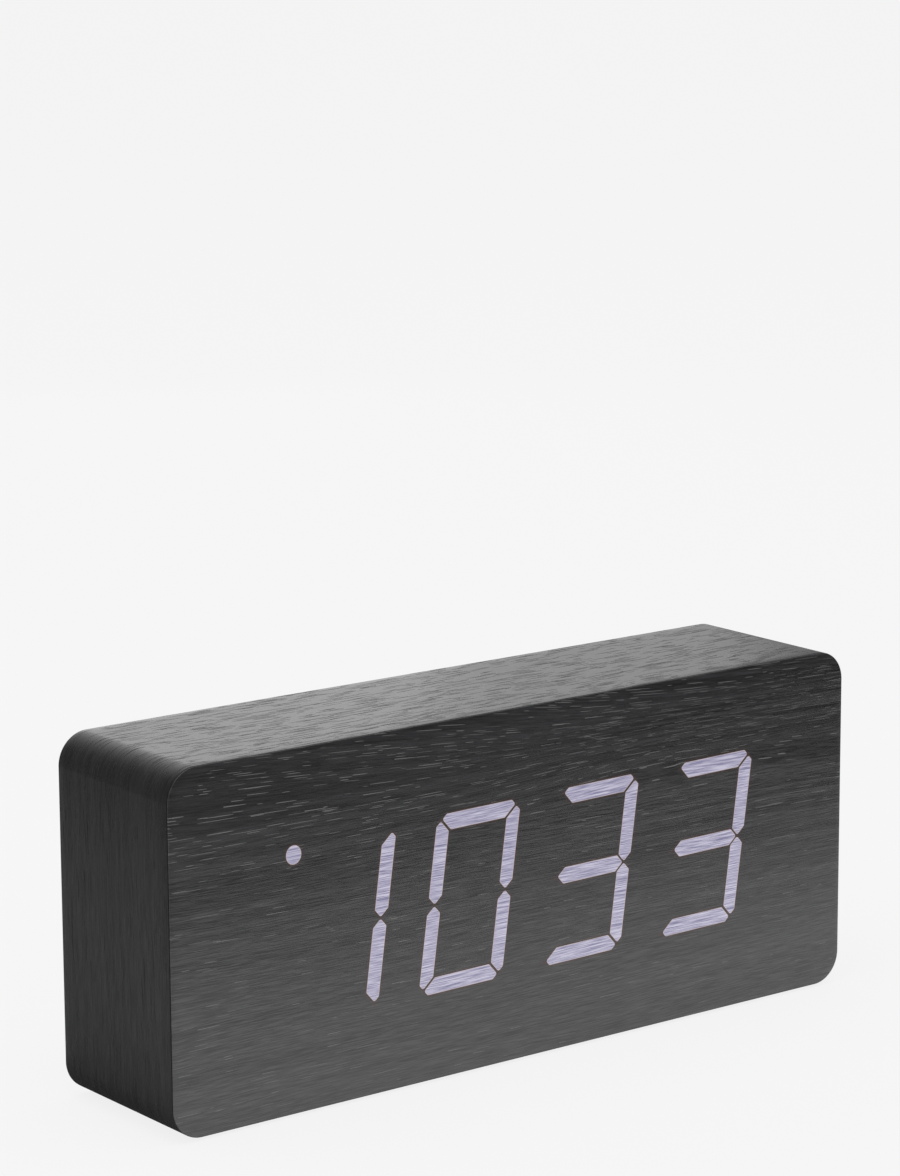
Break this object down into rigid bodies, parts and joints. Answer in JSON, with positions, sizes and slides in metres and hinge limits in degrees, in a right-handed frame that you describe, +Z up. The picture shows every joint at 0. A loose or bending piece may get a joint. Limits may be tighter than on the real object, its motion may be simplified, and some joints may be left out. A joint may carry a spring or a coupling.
{
  "type": "digital alarm clock",
  "caption": "Free-standing alarm clock: a round-cornered block in black wood veneer, slanted digits shining through its front, controls and a hinged battery door behind",
  "frame": {"origin": "centre of the footprint, on the plane that the foot pads stand on", "axes": "+X to the right seen from the front, +Y to the rear, so the display faces -Y, and +Z up"},
  "size_m": [0.21, 0.047, 0.09],
  "materials": {
    "black_veneer": "black-stained open-pore wood veneer, satin",
    "smoke_plastic": "smoke-tinted translucent moulding",
    "fibre_board": "raw wood-fibre board, black-stained at the rear edge",
    "mask_film": "matt black film",
    "diffuser_film": "milky diffuser sheet",
    "white_plastic": "white moulded plastic",
    "circuit_board": "green solder resist on glass-fibre laminate",
    "emitter": "yellow phosphor over a blue light chip",
    "chip_black": "black moulding compound",
    "contact_metal": "nickel-plated sheet and wire",
    "zinc_steel": "zinc-plated steel",
    "black_plastic": "black moulded plastic, fine spark texture",
    "button_plastic": "dark grey moulded plastic",
    "cell_jacket": "plain printed sleeve on a steel can",
    "lead_sleeve": "soft plastic insulation",
    "ribbon_grey": "grey flat cable",
    "header_cream": "cream nylon",
    "foot_rubber": "thin self-adhesive foam rubber"
  },
  "bodies": {
    "case": {"front_veneer": "black_veneer", "wrap_veneer": "black_veneer", "front_plate": "smoke_plastic", "case_shell": "fibre_board", "display_mask": "mask_film", "diffuser": "diffuser_film", "display_reflector": "white_plastic", "main_board": "circuit_board", "light_emitters": "emitter", "driver_chip": "chip_black", "clock_crystal": "contact_metal", "board_screws": "zinc_steel", "corner_block_1": "fibre_board", "corner_block_2": "fibre_board", "corner_block_3": "fibre_board", "corner_block_4": "fibre_board", "rear_cover": "black_plastic", "rear_screws": "zinc_steel", "battery_cell_1": "cell_jacket", "battery_cell_2": "cell_jacket", "battery_cell_3": "cell_jacket", "battery_cell_4": "cell_jacket", "contact_strip_1": "contact_metal", "contact_strip_2": "contact_metal", "contact_strip_3": "contact_metal", "contact_strip_4": "contact_metal", "contact_strip_5": "contact_metal", "contact_springs": "contact_metal", "battery_leads": "lead_sleeve", "key_board": "circuit_board", "key_board_screws": "zinc_steel", "set_key_body": "chip_black", "up_key_body": "chip_black", "down_key_body": "chip_black", "sound_switch_body": "contact_metal", "power_inlet": "black_plastic", "inlet_pin": "contact_metal", "buzzer": "chip_black", "microphone": "contact_metal", "ribbon_cable": "ribbon_grey", "main_header": "header_cream", "key_header": "header_cream", "foot_pad_1": "foot_rubber", "foot_pad_2": "foot_rubber", "foot_pad_3": "foot_rubber", "foot_pad_4": "foot_rubber"},
    "battery_door": {"battery_door": "black_plastic"},
    "set_button": {"set_button": "button_plastic", "set_key_plunger": "button_plastic"},
    "up_button": {"up_button": "button_plastic", "up_key_plunger": "button_plastic"},
    "down_button": {"down_button": "button_plastic", "down_key_plunger": "button_plastic"},
    "sound_switch": {"sound_switch_knob": "button_plastic"}
  },
  "joints": [
    {"name": "battery_door_hinge", "type": "hinge", "parent": "case", "child": "battery_door", "pos_m": [-0.048, 0.02055, 0.02085], "axis": [-1, 0, 0], "range_deg": [0, 90]},
    {"name": "set_button_press", "type": "slide", "parent": "case", "child": "set_button", "axis": [0, -1, 0], "range_m": [0, 0.0005], "stiffness_N_per_m": 3000},
    {"name": "up_button_press", "type": "slide", "parent": "case", "child": "up_button", "axis": [0, -1, 0], "range_m": [0, 0.0005], "stiffness_N_per_m": 3000},
    {"name": "down_button_press", "type": "slide", "parent": "case", "child": "down_button", "axis": [0, -1, 0], "range_m": [0, 0.0005], "stiffness_N_per_m": 3000},
    {"name": "sound_switch_slide", "type": "slide", "parent": "case", "child": "sound_switch", "axis": [1, 0, 0], "range_m": [0, 0.002]}
  ]
}
